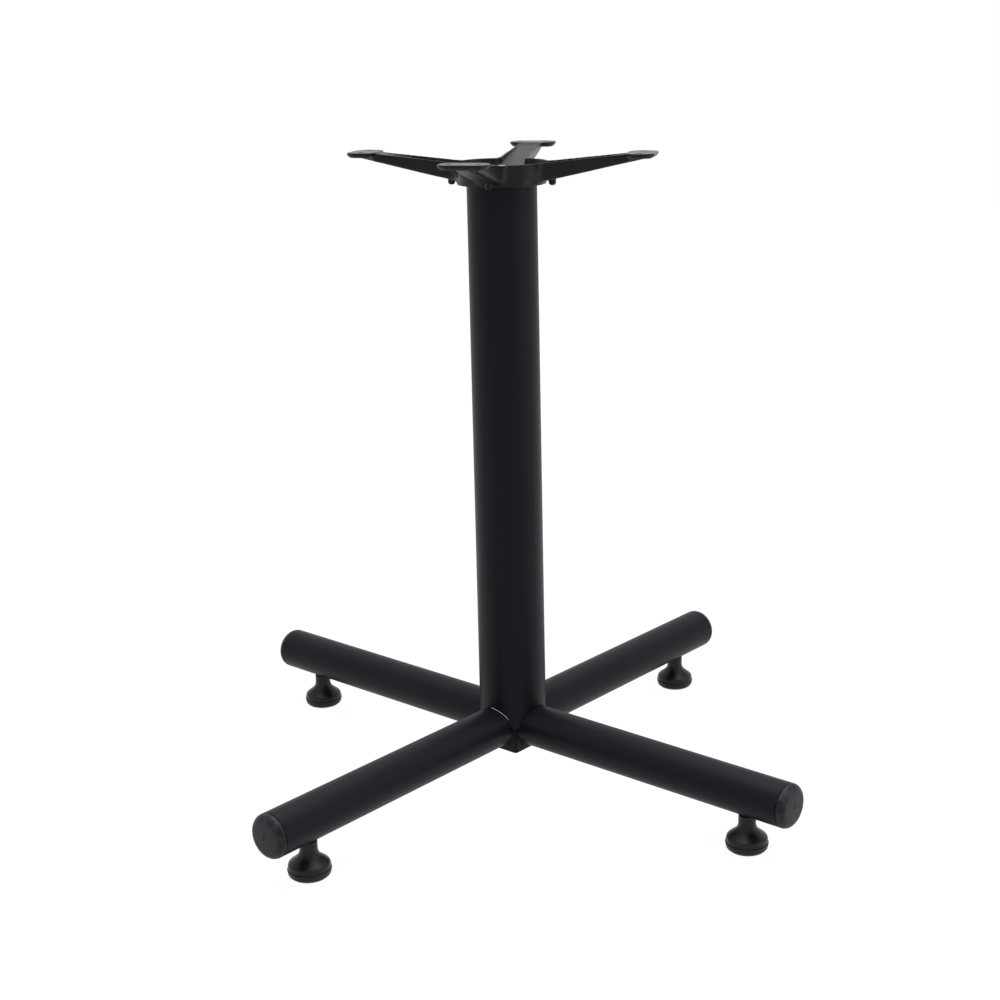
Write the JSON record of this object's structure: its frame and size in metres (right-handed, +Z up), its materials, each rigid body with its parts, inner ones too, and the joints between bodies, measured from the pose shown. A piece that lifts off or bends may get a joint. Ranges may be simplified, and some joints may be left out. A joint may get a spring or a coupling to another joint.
{
  "type": "table base",
  "caption": "Black pedestal table base: round column on a cross of tubular legs with levelling glides, and a cast cross spider on top with screw pads for a table top.",
  "frame": {"origin": "on the floor, under the middle of the column", "axes": "+Z up along the column; +X and +Y along the spider's arms; the legs are turned 27.1 degrees clockwise from them, seen from above"},
  "size_m": [0.6928, 0.6928, 0.715],
  "materials": {
    "black_powder_coat": "satin black powder coat with fine orange peel",
    "black_cast_iron": "black paint over a rough sand casting",
    "cap_plastic": "satin moulded black plastic",
    "foot_plastic": "glossy moulded black plastic",
    "foot_base": "satin black plastic",
    "zinc_steel": "bright zinc plate"
  },
  "bodies": {
    "frame": {"column_tube": "black_powder_coat", "hub_post": "black_powder_coat", "hub_plate": "black_powder_coat", "spider": "black_cast_iron", "tie_rod": "zinc_steel", "top_nut": "zinc_steel", "top_washer": "zinc_steel", "bottom_nut": "zinc_steel", "bottom_washer": "zinc_steel", "leg_tube_1": "black_powder_coat", "end_cap_1": "cap_plastic", "foot_insert_1": "zinc_steel", "leg_tube_2": "black_powder_coat", "end_cap_2": "cap_plastic", "foot_insert_2": "zinc_steel", "leg_tube_3": "black_powder_coat", "end_cap_3": "cap_plastic", "foot_insert_3": "zinc_steel", "leg_tube_4": "black_powder_coat", "end_cap_4": "cap_plastic", "foot_insert_4": "zinc_steel"},
    "foot_1": {"foot_stud_1": "zinc_steel", "foot_body_1": "foot_plastic", "foot_pad_1": "foot_base"},
    "foot_2": {"foot_stud_2": "zinc_steel", "foot_body_2": "foot_plastic", "foot_pad_2": "foot_base"},
    "foot_3": {"foot_stud_3": "zinc_steel", "foot_body_3": "foot_plastic", "foot_pad_3": "foot_base"},
    "foot_4": {"foot_stud_4": "zinc_steel", "foot_body_4": "foot_plastic", "foot_pad_4": "foot_base"}
  },
  "joints": [
    {"name": "foot_1_level", "type": "slide", "parent": "frame", "child": "foot_1", "axis": [0, 0, -1], "range_m": [0, 0.012]},
    {"name": "foot_2_level", "type": "slide", "parent": "frame", "child": "foot_2", "axis": [0, 0, -1], "range_m": [0, 0.012]},
    {"name": "foot_3_level", "type": "slide", "parent": "frame", "child": "foot_3", "axis": [0, 0, -1], "range_m": [0, 0.012]},
    {"name": "foot_4_level", "type": "slide", "parent": "frame", "child": "foot_4", "axis": [0, 0, -1], "range_m": [0, 0.012]}
  ]
}
